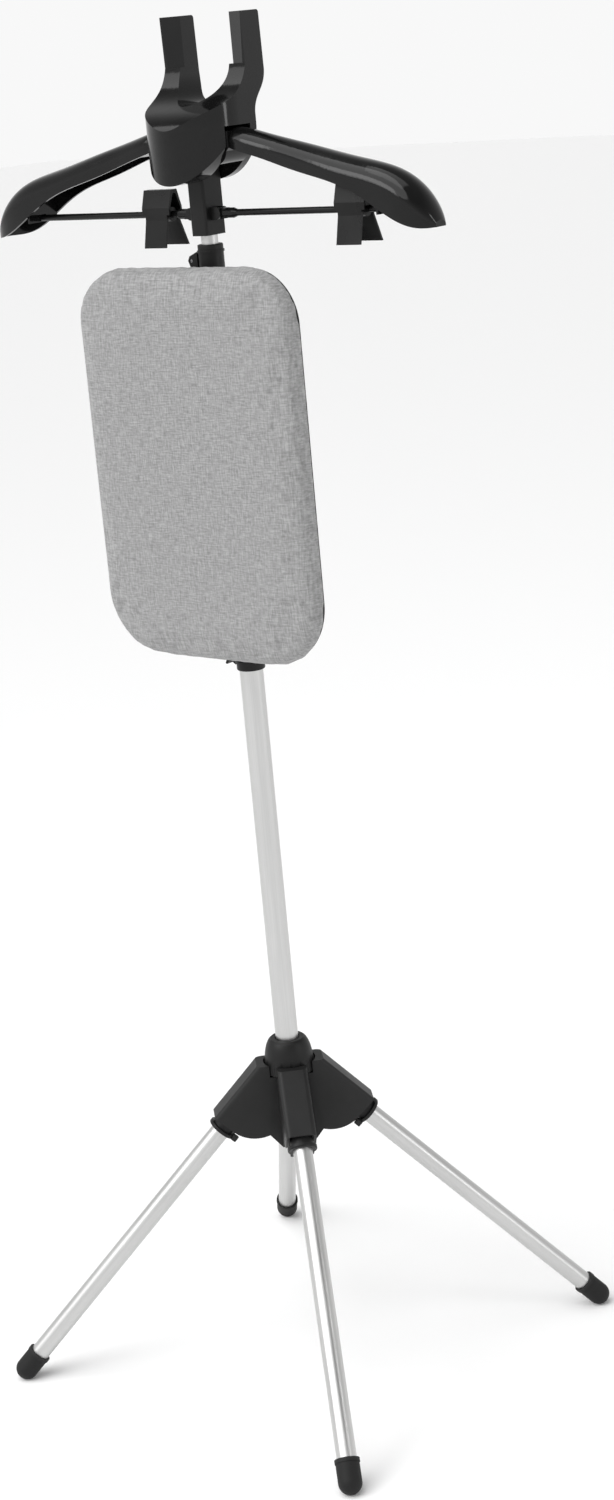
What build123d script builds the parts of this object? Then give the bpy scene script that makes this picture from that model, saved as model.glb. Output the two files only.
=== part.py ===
from build123d import *
import os
from math import cos, radians, sin, sqrt, tan

# Folding garment-steamer stand: four-leg base, telescoping pole, pressing board and hanger head.
# Frame: origin on the floor under the pole, +X to the hanger's right arm, -Y to the front, +Z up.
os.makedirs("parts", exist_ok=True)

# --- Clearances -------------------------------------------------------------------------------
pin_clearance = 0.05          # radial, on every pin that something turns on
slide_clearance = 0.08        # radial, on everything that slides
free_gap = 0.4                # between pieces that move past each other
overrun = 10.0                # how far a cut runs on past the surface it opens

# --- Base: legs and feet ----------------------------------------------------------------------
leg_azimuths = {"front_right": -45, "back_right": 45, "back_left": 135, "front_left": 225}
leg_slope = 46.6              # below the horizontal when the stand is open
leg_od = 16.0
leg_wall = 1.0
foot_circle_radius = 248.0    # where the feet touch the floor
foot_wall = 1.5               # rubber round the end of a leg's tube
foot_flat_depth = 0.5         # how far the foot's ball is cut flat by the floor
foot_cap_length = 18.0        # from the centre of its ball to its open edge
foot_lip_width = 3.2
foot_lip_height = 0.5
foot_floor = 3.0              # rubber under the end of the tube
foot_ball_share = 0.55        # of the tube's radius, how far its square end stays off the ball

# --- Base: hub --------------------------------------------------------------------------------
hub_wall = 2.5
leg_pivot_run = 50.0          # from the pole's axis to the leg pivot, along the leg
hub_arm_run = 83.0            # and to the end of the hub's arm
hub_skirt = 9.0               # how far an arm's walls reach below the leg's axis
hub_shoulder_radius = 28.0    # where an arm's ridge starts
hub_depth = 74.0              # height of the hub at its middle
hub_edge_round = 4.0
hub_roof_gap = 1.2            # between a leg's sleeve and the roof over it
hub_waist_radius = 22.5       # where the curve under an arm ends and the wall slants to the middle
fold_gap = 1.0                # between a folding leg's flange and the hub
spigot_foot = 12.0            # solid middle of the hub starts this far above its bottom
spigot_reach = 20.0           # spigot above the nut's base
spigot_length = 24.0          # of it, the bore that holds the collet
sleeve_wall = 1.6
sleeve_neck = 5.0
flange_width = 3.0
flange_rim = 2.6              # beyond the sleeve
flange_round = 1.0
sleeve_ear_width = 4.4
sleeve_ear_height = 5.4
sleeve_ear_spread = 7.6       # from the leg's axis to an ear's middle, sideways
sleeve_ear_round = 1.6
sleeve_ear_back = 2.4         # how far the ears start behind the flange
sleeve_ear_front = 0.6        # and how far they end short of its face
tube_seat_run = 14.0          # from a leg's pivot to the end of its tube
pivot_pin_radius = 2.5
pivot_cover = 0.8             # hub wall left over each end of a pivot pin

# --- Pole -------------------------------------------------------------------------------------
lower_od = 19.0
middle_od = 16.0
upper_od = 13.0
tube_wall = 1.0
lower_collar_base = 598.0     # floor to the underside of the lower clamp collar
collar_pitch = 308.0          # from one collar's underside to the next one's
collar_height = 28.0
collar_wall = 1.9
collar_overlap = 14.0         # how much of a collar is pressed on its own tube
middle_tube_length = 372.0
upper_tube_length = 404.0
guide_length = 18.0
guide_lip = 2.0               # of the guide under the tube's end
guide_lip_width = 1.0
post_gap = 7.0                # upper collar to hanger post
lever_thickness = 9.0
lever_reach = 4.6             # from the collar's wall to the lever's pin
lever_pin_height = 16.0
lever_length = 13.0
lever_pin_radius = 1.25
ear_thickness = 2.2
ear_foot = 4.0                # above the collar's underside
ear_nose = 3.4                # from the lever's pin to the ear's edge
collar_band = 1.6             # width of the raised bands
collar_band_rise = 0.7
collar_band_inset = 6.0       # from the collar's ends
collar_round = 0.9
collar_cap = 1.0              # closed top of the collar round the inner tube
bush_slot = 1.2
cam_window = 13.0             # height of the opening for the lever's cam
cam_window_drop = 2.0
lever_hub = 2.6               # from the lever's pin to its back
lever_tip = 7.2               # how far the lever's tip stands out from its pin
lever_round = 0.8
pin_recess = 0.2              # each end of the lever's pin, below the ear's face

# --- Lock nut ---------------------------------------------------------------------------------
nut_height = 29.5
nut_sink = 10.0               # how deep the nut sits in the hub
nut_well_gap = 1.0
nut_chamfer = 1.5
nut_lip = 1.8                 # flat ring at the nut's top edge
nut_waist = 0.9               # how far the side has drawn in at the middle
nut_radius = 20.9
nut_top_radius = 15.7
nut_flutes = 16
nut_flute_radius = 1.6
nut_flute_length = 20.0
spigot_wall = 2.3
plug_rim = 1.8                # beyond the tube, and the plug's skirt in it
plug_thickness = 2.0
plug_round = 0.8
plug_depth = 14.0
collet_wall = 1.6
collet_slot = 1.2
collet_slot_start = 6.0       # above the nut's base

# --- Pressing board ---------------------------------------------------------------------------
board_width = 213.0
board_height = 303.0
board_top_corner = 42.0
board_bottom_corner = 50.0
board_plate_thickness = 3.0
board_pad_thickness = 17.0
board_pad_round = 6.5
board_standoff = 29.0         # pole axis to the back of the board
board_lower_gap = 18.0        # board's bottom edge above the lower collar's underside
bracket_height = 24.0
bracket_wall = 2.6
bracket_flange = 46.0
bracket_upper_drop = 42.0     # from the board's top edge to the upper bracket
bracket_spacing = 95.0
bracket_plate = 3.2
bracket_round = 6.0
bracket_mouth = 5.0           # how much narrower than the tube the bracket's open side is
plate_round = 1.2
board_back_round = 1.5
board_screw_inset = 7.0       # from a bracket's end
board_screw_radius = 3.2
board_screw_height = 1.8
board_screw_slot = 0.8

# --- Hanger post and head ---------------------------------------------------------------------
post_width = 16.0
post_depth = 22.5
post_length = 77.0
post_round = 2.0
post_roof = 18.0              # solid top of the post, over the upper tube
tube_end_gap = 1.0            # between the tube's end and the post's roof
rod_lug_thickness = 2.0
rod_lug_wall = 0.6            # round the rod's eye
post_screw_radius = 1.6
post_screw_head = 3.4
post_screw_drop = 10.0        # from the post's top to its screw
post_screw_depth = 15.0
post_screw_height = 1.8
head_half_width = 40.2
head_front = 39.0
head_back = 20.0
head_wall = 2.6
head_drop = 40.0              # post's underside to the head's underside
slot_front = -14.0
slot_back = 12.6
slot_ceiling = 80.5           # above the post's underside
prong_inner = 24.5
prong_height = 162.0          # post's underside to the prong tips
cradle_centre = 121.0         # and to the centre of the cradle's round seat
knee_height = 124.5
prong_back = 34.5
prong_depth_outer = 21.2
prong_depth_inner = 15.3
prong_taper = 1.0             # how much the prongs lean forward at their tips
prong_round = 2.4
rise_start = 36.0             # below the knee, where the back starts to sweep out
rise_end = 6.0                # and where it has reached the prongs' back
sweep_y = -6.0                # where the front edge passes on its way down
sweep_drop = 24.0             # below the knee, at that place
shell_lip = 3.0               # cradle over the front shell's open top
boss_wall = 2.4
boss_depth = 11.0             # of the front shell's bosses, from the slot forward
boss_hole = 8.0              # how far the pivot screws reach into them
screw_head_radius = 5.0
screw_head_height = 2.0
arm_pivot_x = 26.0
arm_pivot_height = 63.5
arm_knuckle_radius = 11.0
arm_pin_radius = 3.0

# --- Hanger arms ------------------------------------------------------------------------------
arm_wall = 2.2
# stations out from the pole: x, half width, top and lower edge above the post's underside
arm_stations = [
    (39.0, 12.2, 79.2, 64.6),
    (60.0, 13.2, 74.9, 58.6),
    (105.0, 15.2, 64.1, 45.4),
    (150.0, 17.2, 53.3, 32.0),
    (180.0, 18.0, 45.8, 15.6),
    (200.0, 17.0, 34.6, 5.2),
    (213.0, 12.5, 20.0, 2.2),
    (220.0, 6.0, 7.0, 2.2),
]
arm_root_length = 14.0        # solid part of the arm beyond the head
arm_crown = 0.8               # of the half width, how high the arm's rounded top is
arm_rib_half = 16.0           # the rib that holds the rod's end
arm_rib_height = 24.0
arm_rib_thickness = 2.0

# --- Trouser rods and clips -------------------------------------------------------------------
rod_radius = 2.55
rod_height = 16.0             # above the post's underside
rod_pivot_x = 12.5
rod_end_x = 186.0
rod_neck_radius = 3.9
rod_neck_end = 27.0
rod_taper = 4.0
rod_eye_radius = 4.2
rod_eye_width = 5.6
rod_pin_radius = 1.5
rod_eye_relief = 1.5          # gap between the eye and the full neck
rod_chamfer = 1.0
rod_notch_x = 176.0
clip_places = {"left": 46.0, "right": 144.0}
clip_length = 22.0            # barrel and finger levers
clip_jaw_width = 28.0
clip_jaw_height = 19.0
clip_lever_height = 24.5
clip_lever_splay = 20.0
clip_leaf = 1.8
clip_barrel_wall = 1.3
clip_knuckle_wall = 1.5
clip_knuckle_gap = 0.2        # between neighbouring knuckles
clip_knuckle_width = 2.4      # of the back leaf's knuckles
clip_front_splay = 0.55       # how much less the front lever stands out than the back one
clip_bend = 4.0               # straight part of a lever below the rod
clip_lip = 3.0                # flat gripping edge at the jaws' top
clip_lip_gap = 0.15           # from the middle to a closed jaw
clip_relief = 1.6             # from the middle to a jaw's inside, under its edge
coil_gap = 0.3
coil_thickness = 0.95

# --- Places that follow from the sizes above --------------------------------------------------
leg_radius = leg_od / 2
foot_radius = leg_radius + foot_wall
foot_height = foot_radius - foot_flat_depth
apex_height = foot_height + foot_circle_radius * tan(radians(leg_slope))
foot_run = foot_circle_radius / cos(radians(leg_slope))
sleeve_radius = leg_radius + sleeve_wall
flange_radius = sleeve_radius + flange_rim
sleeve_ear_drop = flange_radius - sleeve_ear_width / 4
channel_half = sleeve_radius + free_gap
hub_half = channel_half + hub_wall
ridge_rise = channel_half + hub_roof_gap + hub_wall
lower_radius = lower_od / 2
middle_radius = middle_od / 2
upper_radius = upper_od / 2
hub_top = apex_height + ridge_rise / cos(radians(leg_slope)) - hub_shoulder_radius * tan(radians(leg_slope))
hub_bottom = hub_top - hub_depth
nut_base = hub_top - nut_sink
upper_collar_base = lower_collar_base + collar_pitch
post_base = upper_collar_base + collar_height + post_gap
rod_z = post_base + rod_height
board_base = lower_collar_base + board_lower_gap
plate_front = -(board_standoff + board_plate_thickness)
spigot_bore = lower_radius + collet_wall + slide_clearance


def leg_point(run, rise, azimuth):
    """A point beside a leg's axis: run along it from the pole's axis, rise square above it."""
    slope = radians(leg_slope)
    out = run * cos(slope) + rise * sin(slope)
    up = apex_height - run * sin(slope) + rise * cos(slope)
    return (out * cos(radians(azimuth)), out * sin(radians(azimuth)), up)


def across_leg(run, azimuth, rise=0.0):
    """Plane square to a leg, its Z pointing down the leg and its Y up from it."""
    slope, turn = radians(leg_slope), radians(azimuth)
    down = (cos(slope) * cos(turn), cos(slope) * sin(turn), -sin(slope))
    side = (-sin(turn), cos(turn), 0)
    return Plane(origin=leg_point(run, rise, azimuth), x_dir=side, z_dir=down)


def beside_leg(azimuth, shift=0.0):
    """Upright plane through the pole and a leg, its X outward and its Y up, moved sideways."""
    turn = radians(azimuth)
    side = (sin(turn), -cos(turn), 0)
    place = (shift * side[0], shift * side[1], 0)
    return Plane(origin=place, x_dir=(cos(turn), sin(turn), 0), z_dir=side)


def save(piece, name):
    piece.part.label = name
    export_step(piece.part, f"parts/{name}.step")


def profile(points):
    """A closed outline from points in the current sketch."""
    Polygon(*points, align=None)


# --- Base -------------------------------------------------------------------------------------
def hub_arm_outline(inset):
    """Side view of one hub arm, drawn in by inset from its ridge, as (radius, height) points."""
    slope = radians(leg_slope)
    ridge = ridge_rise - inset

    def at(run, rise):
        return (run * cos(slope) + rise * sin(slope), apex_height - run * sin(slope) + rise * cos(slope))

    reach = hub_arm_run + sleeve_neck - leg_pivot_run - fold_gap
    pivot = at(leg_pivot_run, 0)
    waist = (hub_waist_radius, pivot[1] - sqrt(reach ** 2 - (pivot[0] - hub_waist_radius) ** 2))
    under = (pivot[0], pivot[1] - reach + fold_gap / 2)
    shoulder = at(0, ridge)
    shoulder_run = (hub_shoulder_radius - shoulder[0]) / cos(slope)
    return at(shoulder_run, ridge), at(hub_arm_run, ridge), at(hub_arm_run, -hub_skirt), under, waist


def make_hub_housing():
    shoulder, tip, skirt, under, waist = hub_arm_outline(0)
    inner_shoulder, inner_tip = hub_arm_outline(hub_wall)[:2]
    with BuildPart() as hub_housing:
        for azimuth in leg_azimuths.values():
            with BuildSketch(beside_leg(azimuth)):
                with BuildLine():
                    Polyline((0, hub_bottom), (0, hub_top), shoulder, tip, skirt)
                    ThreePointArc(skirt, under, waist)
                    Polyline(waist, (hub_half, hub_bottom), (0, hub_bottom))
                make_face()
            extrude(amount=hub_half, both=True)
        rise_rate = sin(radians(leg_slope))
        ridges = [
            edge for edge in hub_housing.edges().filter_by(GeomType.LINE)
            if abs(abs(edge.tangent_at(0.5).Z) - rise_rate) < 0.01 and edge.length > hub_depth / 2
        ]
        fillet(ridges, hub_edge_round)
        for azimuth in leg_azimuths.values():
            with BuildSketch(beside_leg(azimuth)):
                profile([
                    (spigot_bore + spigot_wall, hub_bottom - overrun),
                    (spigot_bore + spigot_wall, inner_shoulder[1]),
                    inner_shoulder,
                    (inner_tip[0] + overrun, inner_tip[1] - overrun * tan(radians(leg_slope))),
                    (inner_tip[0] + overrun, hub_bottom - overrun),
                ])
            extrude(amount=channel_half, both=True, mode=Mode.SUBTRACT)
        # room for the nut, then the threaded spigot that it turns on
        with BuildSketch(Plane.XY.offset(nut_base - free_gap)):
            Circle(nut_radius + nut_well_gap)
            Circle(spigot_bore + spigot_wall, mode=Mode.SUBTRACT)
        extrude(amount=hub_top, mode=Mode.SUBTRACT)
        with BuildSketch(Plane.XY.offset(hub_bottom + spigot_foot)):
            Circle(spigot_bore + spigot_wall)
        extrude(amount=nut_base + spigot_reach - hub_bottom - spigot_foot)
        with BuildSketch(Plane.XY.offset(hub_bottom - overrun)):
            Circle(lower_radius)
        extrude(amount=2 * hub_depth, mode=Mode.SUBTRACT)
        with BuildSketch(Plane.XY.offset(nut_base + spigot_reach - spigot_length)):
            Circle(spigot_bore)
        extrude(amount=spigot_length, mode=Mode.SUBTRACT)
        for azimuth in leg_azimuths.values():
            pivot = leg_point(leg_pivot_run, 0, azimuth)
            with Locations(Plane(origin=pivot, z_dir=beside_leg(azimuth).z_dir)):
                Cylinder(pivot_pin_radius, 2 * (hub_half - pivot_cover), mode=Mode.SUBTRACT)
    save(hub_housing, "hub_housing")


def make_leg_pins():
    with BuildPart() as pins:
        for azimuth in leg_azimuths.values():
            side = beside_leg(azimuth).z_dir
            pivot = leg_point(leg_pivot_run, 0, azimuth)
            with Locations(Plane(origin=pivot, z_dir=side)):
                Cylinder(pivot_pin_radius, 2 * (hub_half - pivot_cover))
    save(pins, "leg_pivot_pins")


def make_leg(name, azimuth):
    flange_run = hub_arm_run + sleeve_neck
    pivot = leg_point(leg_pivot_run, 0, azimuth)
    seat_run = leg_pivot_run + tube_seat_run
    cap_edge_run = foot_run - foot_cap_length
    tube_end_run = foot_run + foot_radius - foot_floor - leg_radius * foot_ball_share
    with BuildPart() as sleeve:
        with BuildSketch(across_leg(leg_pivot_run, azimuth)):
            Circle(sleeve_radius)
        extrude(amount=flange_run - leg_pivot_run + flange_width)
        with Locations(pivot):
            Sphere(sleeve_radius)
        with BuildSketch(across_leg(flange_run, azimuth)):
            Circle(flange_radius)
        extrude(amount=flange_width)
        fillet(sleeve.faces().sort_by(Axis(pivot, across_leg(0, azimuth).z_dir))[-1].edges(), flange_round)
        # two curled ears under the flange
        with BuildSketch(across_leg(flange_run - sleeve_ear_back, azimuth)):
            with Locations((-sleeve_ear_spread, -sleeve_ear_drop), (sleeve_ear_spread, -sleeve_ear_drop)):
                RectangleRounded(sleeve_ear_width, sleeve_ear_height, sleeve_ear_round)
        extrude(amount=flange_width + sleeve_ear_back - sleeve_ear_front)
        with BuildSketch(across_leg(seat_run, azimuth)):
            Circle(leg_radius)
        extrude(amount=foot_run, mode=Mode.SUBTRACT)
        with Locations(Plane(origin=pivot, z_dir=beside_leg(azimuth).z_dir)):
            Cylinder(pivot_pin_radius + pin_clearance, 3 * sleeve_radius, mode=Mode.SUBTRACT)
    save(sleeve, f"leg_sleeve_{name}")

    with BuildPart() as tube:
        with BuildSketch(across_leg(seat_run, azimuth)):
            Circle(leg_radius)
            Circle(leg_radius - leg_wall, mode=Mode.SUBTRACT)
        extrude(amount=tube_end_run - seat_run)
    save(tube, f"leg_tube_{name}")

    with BuildPart() as cap:
        with BuildSketch(across_leg(cap_edge_run, azimuth)):
            Circle(foot_radius)
        extrude(amount=foot_cap_length)
        with Locations(leg_point(foot_run, 0, azimuth)):
            Sphere(foot_radius)
        with BuildSketch(across_leg(cap_edge_run, azimuth)):
            Circle(foot_radius + foot_lip_height)
        extrude(amount=foot_lip_width)
        with BuildSketch(across_leg(cap_edge_run, azimuth)):
            Circle(leg_radius)
        extrude(amount=tube_end_run - cap_edge_run, mode=Mode.SUBTRACT)
        with Locations((0, 0, -foot_radius)):
            Box(4 * foot_circle_radius, 4 * foot_circle_radius, 2 * foot_radius, mode=Mode.SUBTRACT)
    save(cap, f"foot_cap_{name}")


def make_lock_nut():
    bore = spigot_bore + spigot_wall + slide_clearance
    throat = lower_radius + 2 * free_gap
    top = nut_base + nut_height
    with BuildPart() as nut:
        with BuildSketch(Plane.XZ):
            with BuildLine():
                Line((bore, nut_base), (nut_radius - nut_chamfer, nut_base))
                Line((nut_radius - nut_chamfer, nut_base), (nut_radius, nut_base + nut_chamfer))
                Spline((nut_radius, nut_base + nut_chamfer), (nut_radius - nut_waist, nut_base + nut_height / 2),
                       (nut_top_radius, top - nut_chamfer), tangents=[(0, 1), (-0.7, 1)])
                Line((nut_top_radius, top - nut_chamfer), (nut_top_radius - nut_lip, top))
                Line((nut_top_radius - nut_lip, top), (throat, top))
                Line((throat, top), (throat, nut_base + spigot_reach + nut_chamfer))
                Line((throat, nut_base + spigot_reach + nut_chamfer), (bore, nut_base + spigot_reach))
                Line((bore, nut_base + spigot_reach), (bore, nut_base))
            make_face()
        revolve(axis=Axis.Z)
        with BuildSketch(Plane.XY.offset(nut_base - overrun)):
            with PolarLocations(nut_radius + nut_flute_radius / 2, nut_flutes):
                Circle(nut_flute_radius)
        extrude(amount=overrun + nut_flute_length, mode=Mode.SUBTRACT)
    save(nut, "hub_lock_nut")


def make_collet():
    with BuildPart() as collet:
        with BuildSketch(Plane.XY.offset(nut_base + spigot_reach - spigot_length)):
            Circle(lower_radius + collet_wall)
            Circle(lower_radius, mode=Mode.SUBTRACT)
        extrude(amount=spigot_length)
        with BuildSketch(Plane.XY.offset(nut_base + collet_slot_start)):
            with PolarLocations(lower_radius, 4):
                Rectangle(4 * collet_wall, collet_slot)
        extrude(amount=spigot_length, mode=Mode.SUBTRACT)
    save(collet, "hub_collet")


def make_bottom_plug():
    with BuildPart() as plug:
        with BuildSketch(Plane.XY.offset(hub_bottom - plug_thickness)):
            Circle(lower_radius + plug_rim)
        extrude(amount=plug_thickness)
        fillet(plug.faces().sort_by(Axis.Z)[0].edges(), plug_round)
        with BuildSketch(Plane.XY.offset(hub_bottom)):
            Circle(lower_radius - tube_wall)
            Circle(lower_radius - tube_wall - plug_rim, mode=Mode.SUBTRACT)
        extrude(amount=plug_depth)
    save(plug, "hub_bottom_plug")


# --- Pole -------------------------------------------------------------------------------------
def make_tube(name, outer, base, length):
    with BuildPart() as tube:
        with BuildSketch(Plane.XY.offset(base)):
            Circle(outer)
            Circle(outer - tube_wall, mode=Mode.SUBTRACT)
        extrude(amount=length)
    save(tube, name)


def make_guide(name, tube_radius, bore_radius, base):
    """A plastic guide ring on the foot of an inner tube, sliding in the tube outside it."""
    with BuildPart() as guide:
        with BuildSketch(Plane.XY.offset(base - guide_lip)):
            Circle(bore_radius - slide_clearance)
            Circle(tube_radius - tube_wall - guide_lip_width, mode=Mode.SUBTRACT)
        extrude(amount=guide_lip)
        with BuildSketch(Plane.XY.offset(base)):
            Circle(bore_radius - slide_clearance)
            Circle(tube_radius, mode=Mode.SUBTRACT)
        extrude(amount=guide_length)
    save(guide, name)


def make_collar(prefix, outer_tube, inner_tube, base):
    """Split clamp collar pressed on one tube, with the bush that grips the next tube."""
    wall = outer_tube + collar_wall
    pin_x = -(wall + lever_reach)
    ear_inner = lever_thickness / 2 + free_gap
    pin_z = base + lever_pin_height
    ear_root = -outer_tube - free_gap
    with BuildSketch(Plane.XZ) as ear:
        Polygon((ear_root, base + ear_foot), (pin_x, base + 2 * ear_foot), (pin_x - ear_nose, pin_z),
                (pin_x - ear_nose / 2, pin_z + ear_nose), (ear_root, pin_z + 2 * ear_nose), align=None)
    with BuildPart() as collar:
        with BuildSketch(Plane.XY.offset(base)):
            Circle(wall)
        extrude(amount=collar_height)
        fillet(collar.edges().filter_by(GeomType.CIRCLE), collar_round)
        for back in (ear_inner + ear_thickness, -ear_inner):
            extrude(ear.sketch.moved(Location((0, back, 0))), amount=ear_thickness)
        for height in (base + collar_band_inset, base + collar_height - collar_band_inset):
            with BuildSketch(Plane.XY.offset(height)):
                Circle(wall + collar_band_rise)
                Circle(outer_tube, mode=Mode.SUBTRACT)
            extrude(amount=collar_band)
        with BuildSketch(Plane.XY.offset(base - overrun)):
            Circle(outer_tube)
        extrude(amount=overrun + collar_height - 2 * collar_cap, mode=Mode.SUBTRACT)
        with BuildSketch(Plane.XY.offset(base)):
            Circle(inner_tube + free_gap)
        extrude(amount=collar_height + overrun, mode=Mode.SUBTRACT)
        # the window that the lever's cam works through
        with BuildSketch(Plane.YZ.offset(-wall - collar_band)):
            with Locations((0, pin_z - cam_window_drop)):
                Rectangle(2 * ear_inner, cam_window)
        extrude(amount=collar_wall + collar_band + collar_cap, mode=Mode.SUBTRACT)
        with Locations(Plane(origin=(pin_x, 0, pin_z), z_dir=(0, 1, 0))):
            Cylinder(lever_pin_radius, 4 * ear_inner, mode=Mode.SUBTRACT)
    save(collar, f"{prefix}_collar")

    with BuildPart() as bush:
        with BuildSketch(Plane.XY.offset(base + collar_overlap)):
            Circle(outer_tube)
            Circle(inner_tube + slide_clearance, mode=Mode.SUBTRACT)
        extrude(amount=collar_height - 2 * collar_cap - collar_overlap)
        with Locations((outer_tube, 0, base + collar_height)):
            Box(outer_tube, bush_slot, 2 * collar_height, mode=Mode.SUBTRACT)
    save(bush, f"{prefix}_collar_bush")

    with BuildPart() as pin:
        with Locations(Plane(origin=(pin_x, 0, pin_z), z_dir=(0, 1, 0))):
            Cylinder(lever_pin_radius, 2 * (ear_inner + ear_thickness - pin_recess))
    save(pin, f"{prefix}_lever_pin")

    with BuildPart() as lever:
        with BuildSketch(Plane.XZ):
            with BuildLine():
                Polyline(
                    (pin_x + lever_hub, pin_z), (pin_x + lever_hub / 2, pin_z + lever_hub),
                    (pin_x - lever_hub / 2, pin_z + lever_hub), (pin_x - lever_hub, pin_z),
                    (pin_x - lever_tip / 2, pin_z - lever_length / 2), (pin_x - lever_tip, pin_z - lever_length),
                    (pin_x - lever_tip + lever_hub, pin_z - lever_length),
                    (pin_x, pin_z - lever_length / 2), (pin_x + lever_hub, pin_z - lever_hub), close=True)
            make_face()
        extrude(amount=lever_thickness / 2, both=True)
        fillet(lever.edges().filter_by(Axis.Y).sort_by(Axis.Z)[:2], lever_round)
        with Locations(Plane(origin=(pin_x, 0, pin_z), z_dir=(0, 1, 0))):
            Cylinder(lever_pin_radius + pin_clearance, 2 * lever_thickness, mode=Mode.SUBTRACT)
    save(lever, f"{prefix}_lever")


# --- Pressing board ---------------------------------------------------------------------------
def board_outline(plane):
    """The board's rounded outline on an upright plane, centred on the pole."""
    half = board_width / 2
    high = board_base + board_height
    corners = [board_bottom_corner, board_top_corner]
    with BuildSketch(plane) as outline:
        with BuildLine():
            FilletPolyline((0, board_base), (half, board_base), (half, high), (0, high), radius=corners)
            FilletPolyline((0, board_base), (-half, board_base), (-half, high), (0, high), radius=corners)
        make_face()
    return outline.sketch


def bracket_heights():
    upper = board_base + board_height - bracket_upper_drop
    return {"upper": upper, "lower": upper - bracket_spacing}


def make_board():
    with BuildPart() as plate:
        extrude(board_outline(Plane.XZ.offset(board_standoff)), amount=board_plate_thickness)
        fillet(plate.faces().sort_by(Axis.Y)[-1].edges(), plate_round)
    save(plate, "board_back_plate")

    with BuildPart() as pad:
        extrude(board_outline(Plane.XZ.offset(-plate_front)), amount=board_pad_thickness)
        fillet(pad.faces().sort_by(Axis.Y)[0].edges(), board_pad_round)
        fillet(pad.faces().sort_by(Axis.Y)[-1].edges(), board_back_round)
    save(pad, "board_pad")

    screw_x = bracket_flange / 2 - board_screw_inset
    for name, height in bracket_heights().items():
        with BuildPart() as bracket:
            with BuildSketch(Plane.XY.offset(height - bracket_height / 2)):
                Circle(middle_radius + bracket_wall)
                with Locations((0, -board_standoff / 2)):
                    Rectangle(2 * middle_radius, board_standoff)
            extrude(amount=bracket_height)
            with BuildSketch(Plane.XZ.offset(board_standoff - bracket_plate)):
                with Locations((0, height)):
                    RectangleRounded(bracket_flange, bracket_height, bracket_round)
            extrude(amount=bracket_plate)
            with BuildSketch(Plane.XY.offset(height - bracket_height)):
                Circle(middle_radius)
                with Locations((0, middle_radius)):
                    Rectangle(middle_od - bracket_mouth, middle_od)
            extrude(amount=2 * bracket_height, mode=Mode.SUBTRACT)
        save(bracket, f"board_bracket_{name}")

    with BuildPart() as screws:
        for height in bracket_heights().values():
            for x in (-screw_x, screw_x):
                head = Plane(origin=(x, bracket_plate - board_standoff, height), z_dir=(0, 1, 0))
                with Locations(head):
                    Cylinder(board_screw_radius, board_screw_height,
                             align=(Align.CENTER, Align.CENTER, Align.MIN))
                slot_floor = bracket_plate - board_standoff + board_screw_height - board_screw_slot
                with Locations((x, slot_floor + board_screw_slot / 2, height)):
                    Box(2 * board_screw_radius, board_screw_slot, board_screw_slot, mode=Mode.SUBTRACT)
    save(screws, "board_screws")


# --- Hanger post and head ---------------------------------------------------------------------
def make_post():
    lug = rod_eye_width / 2 + free_gap
    screw_z = post_base + post_length - post_screw_drop
    with BuildPart() as post:
        with BuildSketch(Plane.XY.offset(post_base)):
            RectangleRounded(post_width, post_depth, post_round)
        extrude(amount=post_length)
        for sign in (-1, 1):
            for y in (-lug - rod_lug_thickness / 2, lug + rod_lug_thickness / 2):
                with Locations(Plane(origin=(sign * rod_pivot_x, y, rod_z), z_dir=(0, 1, 0))):
                    Cylinder(rod_eye_radius + rod_lug_wall, rod_lug_thickness)
                with Locations((sign * (post_width / 2 + rod_pivot_x) / 2, y, rod_z)):
                    Box(rod_pivot_x - post_width / 2, rod_lug_thickness, 2 * (rod_eye_radius + rod_lug_wall))
            with Locations(Plane(origin=(sign * rod_pivot_x, 0, rod_z), z_dir=(0, 1, 0))):
                Cylinder(rod_pin_radius, post_depth, mode=Mode.SUBTRACT)
        with BuildSketch(Plane.XY.offset(post_base - overrun)):
            Circle(upper_radius)
        extrude(amount=overrun + post_length - post_roof, mode=Mode.SUBTRACT)
        with Locations(Plane(origin=(0, head_back - post_screw_depth, screw_z), z_dir=(0, 1, 0))):
            Cylinder(post_screw_radius, post_depth, align=(Align.CENTER, Align.CENTER, Align.MIN),
                     mode=Mode.SUBTRACT)
    save(post, "hanger_post")

    with BuildPart() as rod_pins:
        for sign in (-1, 1):
            with Locations(Plane(origin=(sign * rod_pivot_x, 0, rod_z), z_dir=(0, 1, 0))):
                Cylinder(rod_pin_radius, 2 * (lug + rod_lug_thickness))
    save(rod_pins, "rod_pivot_pins")


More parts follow.
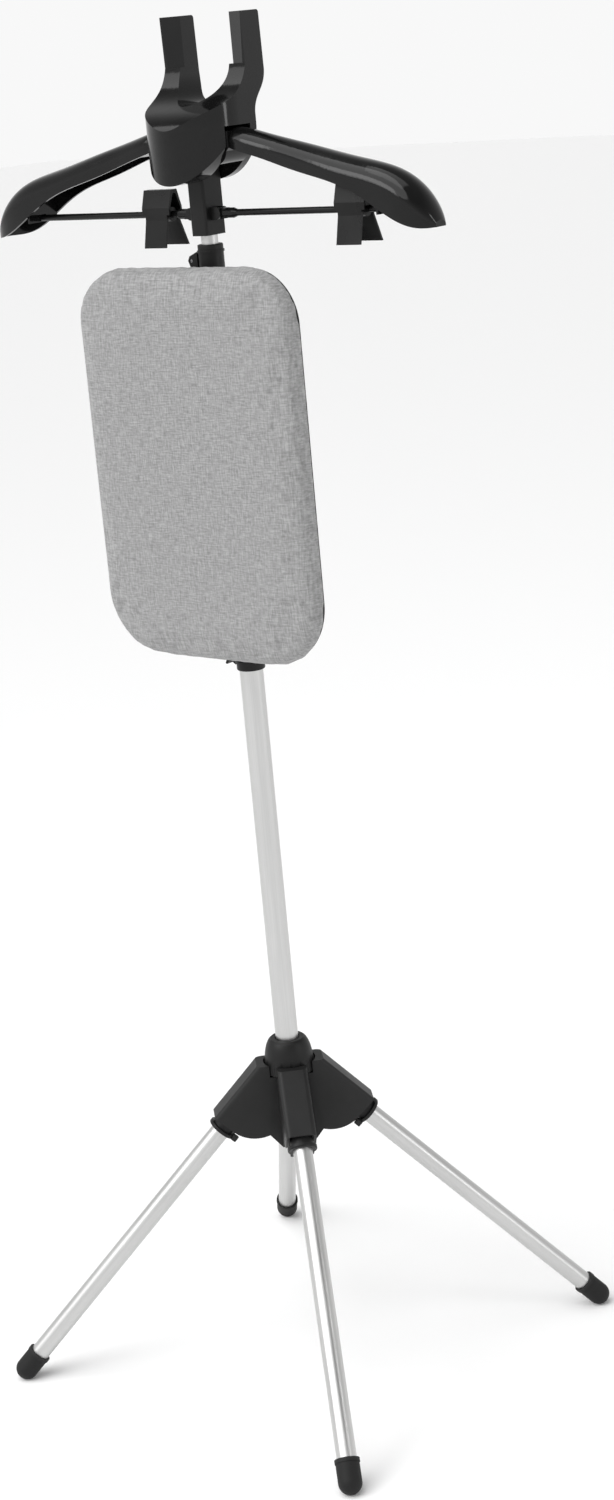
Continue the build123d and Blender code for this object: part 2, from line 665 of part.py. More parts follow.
def head_form(inset):
    """The head's outer form, or the same form drawn in by inset all round."""
    half = head_half_width - inset
    middle = post_base + head_drop + head_half_width
    seat = post_base + cradle_centre
    top = post_base + prong_height
    knee = post_base + knee_height
    rim = post_base + slot_ceiling
    back = head_back - inset
    front = -head_front + inset
    with BuildPart() as form:
        with BuildSketch(Plane.XZ):
            with BuildLine():
                ThreePointArc((-half, middle), (0, middle - half), (half, middle))
                Polyline((half, middle), (half, top), (-half, top), (-half, middle))
            make_face()
            with Locations((0, seat)):
                Circle(prong_inner + inset, mode=Mode.SUBTRACT)
            with Locations((0, seat + prong_height / 2)):
                Rectangle(2 * (prong_inner + inset), prong_height, mode=Mode.SUBTRACT)
        extrude(amount=2 * head_half_width, both=True)
        with BuildSketch(Plane.YZ):
            with BuildLine():
                start = (prong_back - prong_depth_outer, knee)
                shoulder = (front, rim)
                Line((back, middle - 2 * half), (back, knee - rise_start))
                Spline((back, knee - rise_start), (prong_back, knee - rise_end), tangents=[(0.1, 1), (0.05, 1)])
                Line((prong_back, knee - rise_end), (prong_back - prong_taper, top))
                Line((prong_back - prong_taper, top), (start[0] - prong_taper, top))
                Line((start[0] - prong_taper, top), start)
                Spline(start, (sweep_y, knee - sweep_drop), shoulder, tangents=[(-0.25, -1), (-0.55, -1)])
                Line(shoulder, (front, middle - 2 * half))
                Line((front, middle - 2 * half), (back, middle - 2 * half))
            make_face()
        extrude(amount=2 * head_half_width, both=True, mode=Mode.INTERSECT)
        with BuildSketch(Plane.XY.offset(post_base)):
            with BuildLine():
                EllipticalCenterArc((0, 0), half, -front, start_angle=180, arc_size=180)
                Polyline((half, 0), (half, 2 * prong_back), (-half, 2 * prong_back), (-half, 0))
            make_face()
        extrude(amount=prong_height, mode=Mode.INTERSECT)
    return form.part


def make_head():
    rim = post_base + slot_ceiling
    top = post_base + prong_height
    knee = post_base + knee_height
    pivot_z = post_base + arm_pivot_height
    floor = post_base + head_drop - overrun
    screw_z = post_base + post_length - post_screw_drop
    outer_front = prong_back - prong_depth_outer - prong_taper
    inner_front = prong_back - prong_depth_inner - prong_taper
    with BuildPart() as cradle:
        add(head_form(0))
        with Locations((0, (slot_front + slot_back) / 2, (rim + floor) / 2)):
            Box(3 * head_half_width, slot_back - slot_front, rim - floor, mode=Mode.SUBTRACT)
        with Locations((0, slot_front - head_front, (rim + floor) / 2)):
            Box(3 * head_half_width, 2 * head_front, rim - floor, mode=Mode.SUBTRACT)
        # the prongs' front faces slant back towards the seat, above the knee
        for sign in (-1, 1):
            with BuildSketch(Plane.XY.offset(knee)):
                profile([(sign * prong_inner, inner_front), (sign * prong_inner, -head_front),
                         (sign * head_half_width, -head_front), (sign * head_half_width, outer_front)])
            extrude(amount=top, mode=Mode.SUBTRACT)
        fillet(cradle.edges().filter_by(Axis.X).group_by(Axis.Z)[-1], prong_round)
        for sign in (-1, 1):
            with Locations(Plane(origin=(sign * arm_pivot_x, 0, pivot_z), z_dir=(0, 1, 0))):
                Cylinder(arm_pin_radius, 3 * head_front, mode=Mode.SUBTRACT)
        with Locations(Plane(origin=(0, head_back, screw_z), z_dir=(0, 1, 0))):
            Cylinder(post_screw_radius, 2 * post_screw_depth, mode=Mode.SUBTRACT)
    save(cradle, "head_cradle")

    with BuildPart() as front:
        add(head_form(0))
        with Locations((0, slot_front + head_front, rim)):
            Box(3 * head_half_width, 2 * head_front, 2 * prong_height, mode=Mode.SUBTRACT)
        with Locations((0, -head_front, rim + prong_height / 2)):
            Box(3 * head_half_width, 4 * head_front, prong_height, mode=Mode.SUBTRACT)
        add(head_form(head_wall), mode=Mode.SUBTRACT)
        for sign in (-1, 1):
            with Locations(Plane(origin=(sign * arm_pivot_x, slot_front, pivot_z), z_dir=(0, -1, 0))):
                Cylinder(arm_pin_radius + boss_wall, boss_depth, align=(Align.CENTER, Align.CENTER, Align.MIN))
                Cylinder(arm_pin_radius, boss_hole, align=(Align.CENTER, Align.CENTER, Align.MIN),
                         mode=Mode.SUBTRACT)
        add(head_form(0), mode=Mode.INTERSECT)
    save(front, "head_front_shell")

    with BuildPart() as pins:
        for sign in (-1, 1):
            end = Plane(origin=(sign * arm_pivot_x, slot_front - boss_hole, pivot_z), z_dir=(0, 1, 0))
            with Locations(end):
                Cylinder(arm_pin_radius, head_back - slot_front + boss_hole,
                         align=(Align.CENTER, Align.CENTER, Align.MIN))
            with Locations(Plane(origin=(sign * arm_pivot_x, head_back, pivot_z), z_dir=(0, 1, 0))):
                Cylinder(screw_head_radius, screw_head_height,
                         align=(Align.CENTER, Align.CENTER, Align.MIN))
    save(pins, "arm_pivot_screws")

    with BuildPart() as screw:
        with Locations(Plane(origin=(0, head_back - post_screw_depth, screw_z), z_dir=(0, 1, 0))):
            Cylinder(post_screw_radius, post_screw_depth, align=(Align.CENTER, Align.CENTER, Align.MIN))
        with Locations(Plane(origin=(0, head_back, screw_z), z_dir=(0, 1, 0))):
            Cylinder(post_screw_head, post_screw_height, align=(Align.CENTER, Align.CENTER, Align.MIN))
    save(screw, "post_screw")


# --- Hanger arms, rods and clips --------------------------------------------------------------
def arm_section(x, half, top, low):
    """One station of an arm: upright sides under a half-elliptical crown."""
    crown = min(half, top - low) * arm_crown
    spring = post_base + top - crown
    with BuildSketch(Plane.YZ.offset(x)) as section:
        with BuildLine():
            EllipticalCenterArc((0, spring), half, crown, start_angle=0, arc_size=180)
            Polyline((-half, spring), (-half, post_base + low), (half, post_base + low), (half, spring))
        make_face()
    return section.sketch


def arm_hollow_stations():
    """The arm's stations drawn in by its wall, open below, from its solid root to its tip."""
    root = arm_stations[0][0] + arm_root_length
    first, second = arm_stations[0], arm_stations[1]
    share = (root - first[0]) / (second[0] - first[0])
    start = [a + share * (b - a) for a, b in zip(first, second)]
    end = [arm_stations[-1][0] - arm_wall] + list(arm_stations[-1][1:])
    inner = [start] + [list(s) for s in arm_stations[1:-1]] + [end]
    return [(x, half - arm_wall, top - arm_wall, low - arm_wall) for x, half, top, low in inner]


def make_arm(name, sign):
    pivot_z = post_base + arm_pivot_height
    knuckle_front = slot_front + free_gap
    knuckle_back = slot_back - free_gap
    notch = rod_radius + free_gap
    with BuildPart() as arm:
        loft([arm_section(*station) for station in arm_stations])
        loft([arm_section(*station) for station in arm_hollow_stations()], mode=Mode.SUBTRACT)
        # the knuckle that turns between the two halves of the head
        with BuildSketch(Plane.XZ.offset(-knuckle_back)):
            with Locations((arm_pivot_x, pivot_z)):
                Circle(arm_knuckle_radius)
            start = arm_stations[0]
            profile([
                (arm_pivot_x, pivot_z - arm_knuckle_radius), (arm_pivot_x, pivot_z + arm_knuckle_radius),
                (start[0] + free_gap, post_base + start[2] - arm_wall),
                (start[0] + free_gap, post_base + start[3])])
        extrude(amount=knuckle_back - knuckle_front)
        # a rib across the hollow, notched for the end of the trouser rod
        with BuildSketch(Plane.YZ.offset(rod_notch_x - arm_rib_thickness / 2)):
            with Locations((0, rod_z - notch + arm_rib_height / 2)):
                Rectangle(2 * arm_rib_half, arm_rib_height)
            with Locations((0, rod_z + notch - arm_rib_height)):
                Rectangle(2 * notch, 2 * arm_rib_height, mode=Mode.SUBTRACT)
        extrude(amount=arm_rib_thickness)
        with Locations(Plane(origin=(arm_pivot_x, 0, pivot_z), z_dir=(0, 1, 0))):
            Cylinder(arm_pin_radius + pin_clearance, 3 * head_front, mode=Mode.SUBTRACT)
        if sign < 0:
            mirror(about=Plane.YZ, mode=Mode.REPLACE)
    save(arm, name)


def make_rod(name, sign):
    with BuildPart() as rod:
        with BuildSketch(Plane.XZ):
            with BuildLine():
                Polyline((rod_pivot_x, rod_z), (rod_pivot_x, rod_z + rod_neck_radius),
                         (rod_neck_end, rod_z + rod_neck_radius),
                         (rod_neck_end + rod_taper, rod_z + rod_radius),
                         (rod_end_x - rod_chamfer, rod_z + rod_radius),
                         (rod_end_x, rod_z + rod_radius - rod_chamfer),
                         (rod_end_x, rod_z), close=True)
            make_face()
        revolve(axis=Axis((0, 0, rod_z), (1, 0, 0)))
        with Locations((rod_pivot_x, 0, rod_z)):
            Box(2 * (rod_eye_radius + rod_eye_relief), post_depth, post_depth, mode=Mode.SUBTRACT)
        with Locations(Plane(origin=(rod_pivot_x, 0, rod_z), z_dir=(0, 1, 0))):
            Cylinder(rod_eye_radius, rod_eye_width)
        with Locations((rod_pivot_x + rod_eye_radius, 0, rod_z)):
            Box(2 * rod_eye_radius, rod_eye_width, 2 * rod_neck_radius)
        with Locations(Plane(origin=(rod_pivot_x, 0, rod_z), z_dir=(0, 1, 0))):
            Cylinder(rod_pin_radius + pin_clearance, post_depth, mode=Mode.SUBTRACT)
        if sign < 0:
            mirror(about=Plane.YZ, mode=Mode.REPLACE)
    save(rod, name)


def make_clip(side, sign):
    x = sign * clip_places[side]
    barrel = rod_radius + slide_clearance + clip_barrel_wall
    knuckle = barrel + pin_clearance
    outer = knuckle + clip_knuckle_wall
    skin = outer + coil_gap
    with BuildPart() as sleeve:
        with BuildSketch(Plane.YZ.offset(x - clip_length / 2)):
            with Locations((0, rod_z)):
                Circle(barrel)
                Circle(rod_radius + slide_clearance, mode=Mode.SUBTRACT)
        extrude(amount=clip_length)
    save(sleeve, f"clip_{side}_barrel")

    third = clip_length / 4
    gap = clip_knuckle_gap
    inner = gap + clip_knuckle_width
    for leaf, facing in (("front", -1), ("back", 1)):
        if leaf == "front":
            spans = ((gap - clip_length / 2, -third - gap), (third + gap, clip_length / 2 - gap))
        else:
            spans = ((gap - third, inner - third), (third - inner, third - gap))
        lean = radians(clip_lever_splay)
        share = clip_front_splay if leaf == "front" else 1.0
        foot_y = facing * (skin + clip_lever_height * sin(lean) * share)
        with BuildPart() as plate:
            # gripping jaw above the rod, finger lever below it
            with BuildSketch(Plane.YZ.offset(x - clip_jaw_width / 2)):
                profile([
                    (facing * skin, rod_z), (facing * (skin + clip_leaf), rod_z),
                    (facing * (skin + clip_leaf), rod_z + outer),
                    (facing * (clip_relief + clip_leaf), rod_z + clip_jaw_height),
                    (facing * clip_lip_gap, rod_z + clip_jaw_height),
                    (facing * clip_lip_gap, rod_z + clip_jaw_height - clip_lip),
                    (facing * clip_relief, rod_z + clip_jaw_height - clip_lip),
                    (facing * skin, rod_z + outer)])
            extrude(amount=clip_jaw_width)
            with BuildSketch(Plane.YZ.offset(x - clip_length / 2)):
                profile([
                    (facing * skin, rod_z), (facing * (skin + clip_leaf), rod_z),
                    (facing * (skin + clip_leaf), rod_z - clip_bend),
                    (foot_y + facing * clip_leaf, rod_z - clip_lever_height),
                    (foot_y, rod_z - clip_lever_height), (facing * skin, rod_z - clip_bend)])
            extrude(amount=clip_length)
            for start, end in spans:
                with BuildSketch(Plane.YZ.offset(x + start)):
                    with Locations((0, rod_z)):
                        Circle(outer)
                    with Locations((facing * (skin + clip_leaf / 2) / 2, rod_z)):
                        Rectangle(skin + clip_leaf / 2, clip_bend)
                extrude(amount=end - start)
            with BuildSketch(Plane.YZ.offset(x - clip_jaw_width)):
                with Locations((0, rod_z)):
                    Circle(knuckle)
            extrude(amount=2 * clip_jaw_width, mode=Mode.SUBTRACT)
            # clear the places where the other leaf's knuckles turn
            others = ((-third, third),) if leaf == "front" else (
                (-clip_jaw_width, -third), (inner - third, third - inner), (third, clip_jaw_width))
            for start, end in others:
                with BuildSketch(Plane.YZ.offset(x + start)):
                    with Locations((0, rod_z)):
                        Circle(skin)
                extrude(amount=end - start, mode=Mode.SUBTRACT)
        save(plate, f"clip_{side}_{leaf}")

    with BuildPart() as spring:
        with BuildSketch(Plane.YZ.offset(x + inner + coil_gap - third)):
            with Locations((0, rod_z)):
                Circle(knuckle + coil_gap + coil_thickness)
                Circle(knuckle + coil_gap, mode=Mode.SUBTRACT)
        extrude(amount=2 * (third - inner - coil_gap))
    save(spring, f"clip_{side}_spring")


make_hub_housing()
make_leg_pins()
for leg_name, leg_azimuth in leg_azimuths.items():
    make_leg(leg_name, leg_azimuth)
make_lock_nut()
make_collet()
make_bottom_plug()
make_tube("lower_tube", lower_radius, hub_bottom, lower_collar_base + collar_overlap - hub_bottom)
middle_top = upper_collar_base + collar_overlap
make_tube("middle_tube", middle_radius, middle_top - middle_tube_length, middle_tube_length)
upper_top = post_base + post_length - post_roof - tube_end_gap
make_tube("upper_tube", upper_radius, upper_top - upper_tube_length, upper_tube_length)
make_guide("middle_tube_guide", middle_radius, lower_radius - tube_wall, middle_top - middle_tube_length)
make_guide("upper_tube_guide", upper_radius, middle_radius - tube_wall, upper_top - upper_tube_length)
make_collar("lower", lower_radius, middle_radius, lower_collar_base)
make_collar("upper", middle_radius, upper_radius, upper_collar_base)
make_board()
make_post()
make_head()
for side_name, side_sign in (("left", -1), ("right", 1)):
    make_arm(f"{side_name}_arm", side_sign)
    make_rod(f"{side_name}_rod", side_sign)
    make_clip(side_name, side_sign)
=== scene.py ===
import math
import bmesh
import bpy
from mathutils import Matrix, Vector


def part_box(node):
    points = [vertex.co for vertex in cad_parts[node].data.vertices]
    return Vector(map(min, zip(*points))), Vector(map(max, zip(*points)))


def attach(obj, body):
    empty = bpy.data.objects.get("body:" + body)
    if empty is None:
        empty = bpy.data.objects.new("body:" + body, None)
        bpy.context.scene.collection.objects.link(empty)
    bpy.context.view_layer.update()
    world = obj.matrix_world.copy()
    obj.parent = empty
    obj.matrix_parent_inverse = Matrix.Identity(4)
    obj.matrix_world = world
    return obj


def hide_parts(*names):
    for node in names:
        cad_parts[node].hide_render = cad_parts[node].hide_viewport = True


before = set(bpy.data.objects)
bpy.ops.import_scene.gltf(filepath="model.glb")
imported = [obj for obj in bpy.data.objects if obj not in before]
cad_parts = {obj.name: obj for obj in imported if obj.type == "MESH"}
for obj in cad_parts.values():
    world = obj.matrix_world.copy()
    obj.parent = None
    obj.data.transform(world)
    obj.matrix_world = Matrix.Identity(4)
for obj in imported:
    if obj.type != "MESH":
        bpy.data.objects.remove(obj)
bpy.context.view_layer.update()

scene = bpy.context.scene

# --- Camera -----------------------------------------------------------------------------------
AZIMUTH = math.radians(41.451)
DISTANCE = 2.0435
EYE_HEIGHT = 1.1034
YAW = math.radians(1.0774)
PITCH = math.radians(15.776)
ROLL = math.radians(-5.243)
LENS_MM = 63.13
SENSOR_MM = 36.0
FAR_CLIP = 50.0

forward = Matrix.Rotation(AZIMUTH, 3, "Z") @ Vector(
    (math.sin(YAW) * math.cos(PITCH), math.cos(YAW) * math.cos(PITCH), -math.sin(PITCH)))
level = forward.cross(Vector((0, 0, 1))).normalized()
raised = level.cross(forward)
right = math.cos(ROLL) * level + math.sin(ROLL) * raised
up = -math.sin(ROLL) * level + math.cos(ROLL) * raised
camera = bpy.data.objects.new("camera", bpy.data.cameras.new("camera"))
scene.collection.objects.link(camera)
camera.matrix_world = Matrix.Translation(
    (DISTANCE * math.sin(AZIMUTH), -DISTANCE * math.cos(AZIMUTH), EYE_HEIGHT)
) @ Matrix((right, up, -forward)).transposed().to_4x4()
camera.data.lens = LENS_MM
camera.data.sensor_width = SENSOR_MM
camera.data.clip_end = FAR_CLIP
scene.camera = camera

# --- Studio -----------------------------------------------------------------------------------
SKY_TONE = 0.94
SKY_RISE = (0.12, 0.75)       # upward part of the view direction where the sky starts and stops dimming
SKY_STRENGTH = (1.0, 0.25)    # and its strength there
SUN_STRENGTH = 2.1
SUN_SPREAD = math.radians(70)
SUN_HEADING = (0.25, 0.62, -1.0)
scene.view_settings.view_transform = "Standard"
world = bpy.data.worlds.new("studio")
scene.world = world
world.use_nodes = True
sky = world.node_tree
heading = sky.nodes.new("ShaderNodeTexCoord")
split = sky.nodes.new("ShaderNodeSeparateXYZ")
height = sky.nodes.new("ShaderNodeMapRange")
height.inputs["From Min"].default_value = SKY_RISE[0]
height.inputs["From Max"].default_value = SKY_RISE[1]
height.inputs["To Min"].default_value = SKY_STRENGTH[0]
height.inputs["To Max"].default_value = SKY_STRENGTH[1]
sky.links.new(heading.outputs["Generated"], split.inputs[0])
sky.links.new(split.outputs["Z"], height.inputs["Value"])
sky.links.new(height.outputs["Result"], sky.nodes["Background"].inputs["Strength"])
sky.nodes["Background"].inputs["Color"].default_value = (SKY_TONE, SKY_TONE, SKY_TONE, 1)


def softbox(name, place, aim, width, height, power):
    lamp = bpy.data.lights.new(name, "AREA")
    lamp.shape = "RECTANGLE"
    lamp.size = width
    lamp.size_y = height
    lamp.energy = power
    holder = bpy.data.objects.new(name, lamp)
    scene.collection.objects.link(holder)
    holder.location = place
    holder.rotation_euler = (Vector(aim) - Vector(place)).to_track_quat("-Z", "Y").to_euler()


softbox("key", (-1.0, -2.6, 2.6), (0, 0, 0.8), 1.6, 1.6, 24)
softbox("side", (2.9, 0.6, 1.6), (0, 0, 0.9), 0.35, 2.2, 12)
softbox("top", (0, 0, 3.2), (0, 0, 0), 1.6, 1.6, 10)

sun = bpy.data.lights.new("daylight", "SUN")
sun.energy = SUN_STRENGTH
sun.angle = SUN_SPREAD
sun_holder = bpy.data.objects.new("daylight", sun)
scene.collection.objects.link(sun_holder)
sun_holder.rotation_euler = Vector(SUN_HEADING).to_track_quat("-Z", "Y").to_euler()


# --- Materials --------------------------------------------------------------------------------
class Surface:
    """A node material built up from a Principled shader."""

    def __init__(self, name, color, roughness, metallic=0.0, coat=0.0, sheen=0.0, specular=0.5):
        self.material = bpy.data.materials.new(name)
        self.material.use_nodes = True
        self.tree = self.material.node_tree
        self.shader = self.tree.nodes["Principled BSDF"]
        self.shader.inputs["Base Color"].default_value = (*color, 1)
        self.shader.inputs["Roughness"].default_value = roughness
        self.shader.inputs["Metallic"].default_value = metallic
        self.shader.inputs["Coat Weight"].default_value = coat
        self.shader.inputs["Coat Roughness"].default_value = 0.04
        self.shader.inputs["Sheen Weight"].default_value = sheen
        self.shader.inputs["Specular IOR Level"].default_value = specular
        self.place = self.add("ShaderNodeTexCoord").outputs["Object"]

    def add(self, kind, **settings):
        node = self.tree.nodes.new(kind)
        for key, value in settings.items():
            setattr(node, key, value)
        return node

    def link(self, source, target):
        self.tree.links.new(source, target)

    def turned(self, rotation):
        node = self.add("ShaderNodeMapping")
        node.inputs["Rotation"].default_value = rotation
        self.link(self.place, node.inputs["Vector"])
        return node.outputs["Vector"]

    def noise(self, scales, detail=3.0, source=None, rough=0.5):
        mapping = self.add("ShaderNodeMapping")
        mapping.inputs["Scale"].default_value = scales
        self.link(source or self.place, mapping.inputs["Vector"])
        node = self.add("ShaderNodeTexNoise")
        node.inputs["Scale"].default_value = 1.0
        node.inputs["Detail"].default_value = detail
        node.inputs["Roughness"].default_value = rough
        self.link(mapping.outputs["Vector"], node.inputs["Vector"])
        return node.outputs["Fac"]

    def spread(self, source, low, high, start=0.3, end=0.7):
        node = self.add("ShaderNodeMapRange")
        node.inputs["From Min"].default_value = start
        node.inputs["From Max"].default_value = end
        node.inputs["To Min"].default_value = low
        node.inputs["To Max"].default_value = high
        self.link(source, node.inputs["Value"])
        return node.outputs["Result"]

    def combine(self, a, b, operation="ADD"):
        node = self.add("ShaderNodeMath", operation=operation)
        self.link(a, node.inputs[0])
        self.link(b, node.inputs[1])
        return node.outputs[0]

    def ramp(self, source, dark, light, start, end):
        node = self.add("ShaderNodeValToRGB")
        node.color_ramp.elements[0].position = start
        node.color_ramp.elements[0].color = (*dark, 1)
        node.color_ramp.elements[1].position = end
        node.color_ramp.elements[1].color = (*light, 1)
        self.link(source, node.inputs["Fac"])
        return node.outputs["Color"]

    def bump(self, source, strength, distance):
        node = self.add("ShaderNodeBump")
        node.inputs["Strength"].default_value = strength
        node.inputs["Distance"].default_value = distance
        self.link(source, node.inputs["Height"])
        self.link(node.outputs["Normal"], self.shader.inputs["Normal"])


def grey(level):
    return (level, level, level)


def plastic(name, dark, light, roughness, spread, grain, depth, coat=0.0):
    """Moulded plastic: fine texture, slow mottling and edges lightened as a painted highlight."""
    s = Surface(name, dark, roughness, coat=coat, specular=0.22)
    slow = s.noise((28, 28, 28), 4)
    fine = s.noise((grain, grain, grain), 2)
    # painted highlight: convex edges and corners are lightened in the base colour
    edge_highlight = s.add("ShaderNodeNewGeometry").outputs["Pointiness"]
    tone = s.combine(s.spread(slow, 0.0, 0.35), s.spread(edge_highlight, 0.0, 0.4, 0.54, 0.64))
    s.link(s.ramp(tone, dark, light, 0.0, 1.0), s.shader.inputs["Base Color"])
    s.link(s.spread(slow, roughness - spread, roughness + spread), s.shader.inputs["Roughness"])
    s.bump(fine, 0.25, depth)
    return s.material


def metal(name, color, roughness, rotation=(0, 0, 0)):
    """Drawn tube: fine lines along the tube, slow cloudiness in the finish."""
    s = Surface(name, color, roughness, metallic=1.0)
    along = s.turned(rotation)
    lines = s.noise((2600, 2600, 14), 2, along)
    cloud = s.noise((60, 60, 9), 3, along)
    darker = tuple(c * 0.88 for c in color)
    tone = s.combine(lines, cloud, "MULTIPLY")
    s.link(s.ramp(tone, darker, color, 0.1, 0.36), s.shader.inputs["Base Color"])
    s.link(s.spread(cloud, roughness - 0.05, roughness + 0.06), s.shader.inputs["Roughness"])
    s.bump(lines, 0.12, 0.00004)
    return s.material


def heather():
    """Grey heather plain weave: crossing slubs of light and dark yarn."""
    s = Surface("heather_fabric", (0.42, 0.42, 0.43), 0.92, sheen=0.15, specular=0.2)
    s.shader.inputs["Sheen Roughness"].default_value = 0.5
    weft = s.noise((120, 200, 950), 3)
    warp = s.noise((950, 200, 110), 3)
    fleck = s.noise((420, 420, 420), 2)
    blend = s.combine(s.combine(weft, warp), s.spread(fleck, 0.0, 0.55, 0.0, 1.0))
    tone = s.spread(blend, 0.0, 1.0, 0.85, 1.7)
    s.link(s.ramp(tone, grey(0.20), grey(0.37), 0.12, 0.88), s.shader.inputs["Base Color"])
    waves = []
    for direction in ("X", "Z"):
        wave = s.add("ShaderNodeTexWave", bands_direction=direction)
        wave.inputs["Scale"].default_value = 260
        wave.inputs["Distortion"].default_value = 1.2
        wave.inputs["Detail"].default_value = 1.0
        s.link(s.place, wave.inputs["Vector"])
        waves.append(wave.outputs["Fac"])
    s.bump(s.combine(s.combine(*waves), blend), 0.35, 0.00025)
    return s.material


LEGS = {"front_right": -45, "back_right": 45, "back_left": 135, "front_left": 225}
LEG_SLOPE = math.radians(46.6)
ALUMINIUM = (0.60, 0.60, 0.595)
TUBE_ROUGHNESS = 0.36
pole_metal = metal("satin_aluminium_pole", ALUMINIUM, TUBE_ROUGHNESS)
leg_metal = {}
for leg, azimuth in LEGS.items():
    turn = math.radians(azimuth)
    reach = math.cos(LEG_SLOPE)
    axis = Vector((reach * math.cos(turn), reach * math.sin(turn), -math.sin(LEG_SLOPE)))
    tilt = axis.rotation_difference(Vector((0, 0, 1))).to_euler()
    leg_metal[leg] = metal("satin_aluminium_" + leg, ALUMINIUM, TUBE_ROUGHNESS, tilt)

gloss = plastic("gloss_black", grey(0.003), grey(0.009), 0.12, 0.03, 500, 0.00001, coat=0.18)
satin = plastic("satin_black", grey(0.004), grey(0.013), 0.30, 0.05, 700, 0.00004)
matt = plastic("matt_black", grey(0.008), grey(0.024), 0.46, 0.06, 1100, 0.00010)
rubber = plastic("foot_rubber", grey(0.010), grey(0.028), 0.62, 0.07, 900, 0.00008)
rod_paint = plastic("rod_black", grey(0.004), grey(0.014), 0.28, 0.04, 800, 0.00003)
guide_white = plastic("guide_white", (0.55, 0.55, 0.54), (0.68, 0.68, 0.67), 0.45, 0.05, 600, 0.00004)
fastener = metal("fastener_steel", (0.45, 0.45, 0.46), 0.30)
fabric = heather()


def finish_of(node):
    for leg in LEGS:
        if node == "leg_tube_" + leg:
            return leg_metal[leg]
    if node.endswith("_tube"):
        return pole_metal
    if node.startswith("foot_cap"):
        return rubber
    if node in ("head_cradle", "head_front_shell", "left_arm", "right_arm"):
        return gloss
    if node in ("hanger_post", "board_back_plate", "leg_pivot_pins", "rod_pivot_pins"):
        return satin
    if node.startswith("clip_") and not node.endswith("_spring"):
        return satin
    if node in ("left_rod", "right_rod"):
        return rod_paint
    if node.endswith("_guide") or node.endswith("_bush") or node == "hub_collet":
        return guide_white
    if "pin" in node or "screw" in node or node.endswith("_spring"):
        return fastener
    return matt


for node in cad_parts:
    solid = bpy.data.objects[node] if node in bpy.data.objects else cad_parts[node]
    solid.data.materials.clear()
    solid.data.materials.append(finish_of(node))

# --- Pressing board's pad ---------------------------------------------------------------------
CORNER_TOP = 0.042
CORNER_BOTTOM = 0.050
COVER_OVERHANG = 0.0016   # how far the cover stands out past the plate it wraps
COVER_WRAP = 0.0024       # and how far back it reaches over the plate's edge
COVER_HEM = 0.001         # the wrapped edge's rounding
SIDE_FRONT = 0.45         # where the straight side ends, as a share of the pad's depth
FRONT_ROUND = 0.007       # radius of the front edge
FRONT_SET = 0.0085        # depth at which that rounding starts
FRONT_STEPS = 6
VOXEL = 0.004
HELD_BAND = 0.003         # the strip along the back that the filling doesn't push out
FILL_FRAMES = 20
SWELL_CAP = 0.0022
GATHER_DEPTH = 0.00045
GATHER_START = 0.15       # share of the depth where the gathers begin
low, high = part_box("board_pad")


def outline(inset, steps=14):
    """The pad's rounded outline drawn in by inset, as (x, z) points."""
    points = []
    corners = ((1, -1, CORNER_BOTTOM, -90), (1, 1, CORNER_TOP, 0),
               (-1, 1, CORNER_TOP, 90), (-1, -1, CORNER_BOTTOM, 180))
    for sx, sz, radius, start in corners:
        cx = (high.x if sx > 0 else low.x) - sx * radius
        cz = (high.z if sz > 0 else low.z) - sz * radius
        arc = radius - inset
        for k in range(steps + 1):
            angle = math.radians(start + 90 * k / steps)
            points.append((cx + arc * math.cos(angle), cz + arc * math.sin(angle)))
    return points


def pad_shell():
    """A closed slab with a flat front and a rounded front edge."""
    depth = high.y - low.y
    layers = [(0.0, high.y + COVER_WRAP), (-COVER_OVERHANG, high.y + COVER_WRAP - COVER_HEM),
              (-COVER_OVERHANG, low.y + SIDE_FRONT * depth)]
    for k in range(1, FRONT_STEPS + 1):
        angle = math.radians(90 * k / FRONT_STEPS)
        inset = -COVER_OVERHANG + FRONT_ROUND * (1 - math.cos(angle))
        layers.append((inset, low.y + FRONT_SET - FRONT_ROUND * math.sin(angle)))
    shell = bmesh.new()
    rings = [[shell.verts.new((x, y, z)) for x, z in outline(inset)] for inset, y in layers]
    for a, b in zip(rings, rings[1:]):
        for k in range(len(a)):
            shell.faces.new((a[k], a[(k + 1) % len(a)], b[(k + 1) % len(b)], b[k]))
    shell.faces.new(rings[0])
    shell.faces.new(list(reversed(rings[-1])))
    bmesh.ops.recalc_face_normals(shell, faces=shell.faces)
    mesh = bpy.data.meshes.new("board_cover")
    shell.to_mesh(mesh)
    shell.free()
    return mesh


def only(piece):
    for other in bpy.context.selected_objects:
        other.select_set(False)
    piece.select_set(True)
    bpy.context.view_layer.objects.active = piece


cover = bpy.data.objects.new("board_cover", pad_shell())
scene.collection.objects.link(cover)
only(cover)
remesh = cover.modifiers.new("even", "REMESH")
remesh.mode = "VOXEL"
remesh.voxel_size = VOXEL
bpy.ops.object.modifier_apply(modifier="even")

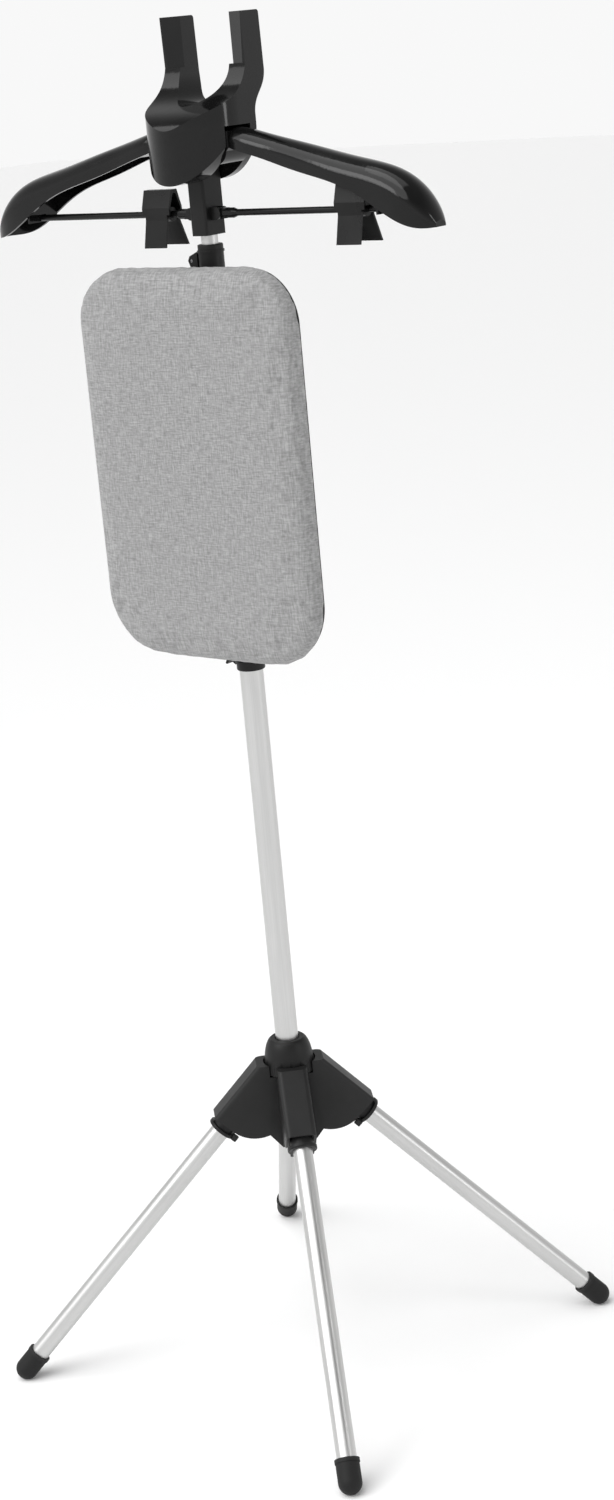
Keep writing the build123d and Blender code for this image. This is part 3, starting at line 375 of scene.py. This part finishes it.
start = [v.co.copy() for v in cover.data.vertices]
held = cover.vertex_groups.new(name="held")
held.add([v.index for v in cover.data.vertices if v.co.y > high.y - HELD_BAND], 1.0, "REPLACE")
cloth = cover.modifiers.new("fill", "CLOTH")
cloth.settings.quality = 5
cloth.settings.mass = 0.3
cloth.settings.tension_stiffness = 25
cloth.settings.compression_stiffness = 25
cloth.settings.bending_stiffness = 0.4
cloth.settings.use_pressure = True
cloth.settings.uniform_pressure_force = 4
cloth.settings.vertex_group_mass = "held"
cloth.settings.effector_weights.gravity = 0
cloth.collision_settings.use_collision = False
for number in range(1, FILL_FRAMES + 1):
    scene.frame_set(number)
evaluated = cover.evaluated_get(bpy.context.evaluated_depsgraph_get())
moved = [v.co.copy() for v in evaluated.data.vertices]
cover.modifiers.remove(cloth)
cover.vertex_groups.clear()
scene.frame_set(1)
for vertex, before, after in zip(cover.data.vertices, start, moved):
    shift = after - before
    vertex.co = before + shift * min(1.0, SWELL_CAP / max(shift.length, 1e-9))

only(cover)
subdivide = cover.modifiers.new("smooth", "SUBSURF")
subdivide.levels = 1
subdivide.render_levels = 1
bpy.ops.object.modifier_apply(modifier="smooth")

# gathers in the cover, along its wrapped edge
middle = (low + high) / 2


def gather(x, z):
    around = math.atan2(z - middle.z, x - middle.x)
    return math.sin(around * 71 + 2.1 * math.sin(around * 9)) * (0.6 + 0.4 * math.sin(around * 17 + 1))


cover.data.update()
normals = [n.vector.copy() for n in cover.data.vertex_normals]
for vertex, normal in zip(cover.data.vertices, normals):
    back = (vertex.co.y - low.y) / (high.y - low.y)
    edge = max(0.0, 1 - abs(normal.y)) * max(0.0, back - GATHER_START)
    vertex.co += normal * GATHER_DEPTH * edge * gather(vertex.co.x, vertex.co.z)
    vertex.co.x = min(max(vertex.co.x, low.x - 2 * COVER_OVERHANG), high.x + 2 * COVER_OVERHANG)
    vertex.co.y = min(vertex.co.y, high.y + COVER_WRAP)
cover.data.shade_smooth()
cover.data.materials.append(fabric)
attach(cover, "middle")
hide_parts("board_pad")

# --- Floor ------------------------------------------------------------------------------------
bpy.ops.mesh.primitive_plane_add(size=30, location=(0, 0, 0))
floor = bpy.context.active_object
floor.name = "floor"
paper = Surface("pale_floor", (0.96, 0.96, 0.96), 0.9)
floor.data.materials.append(paper.material)
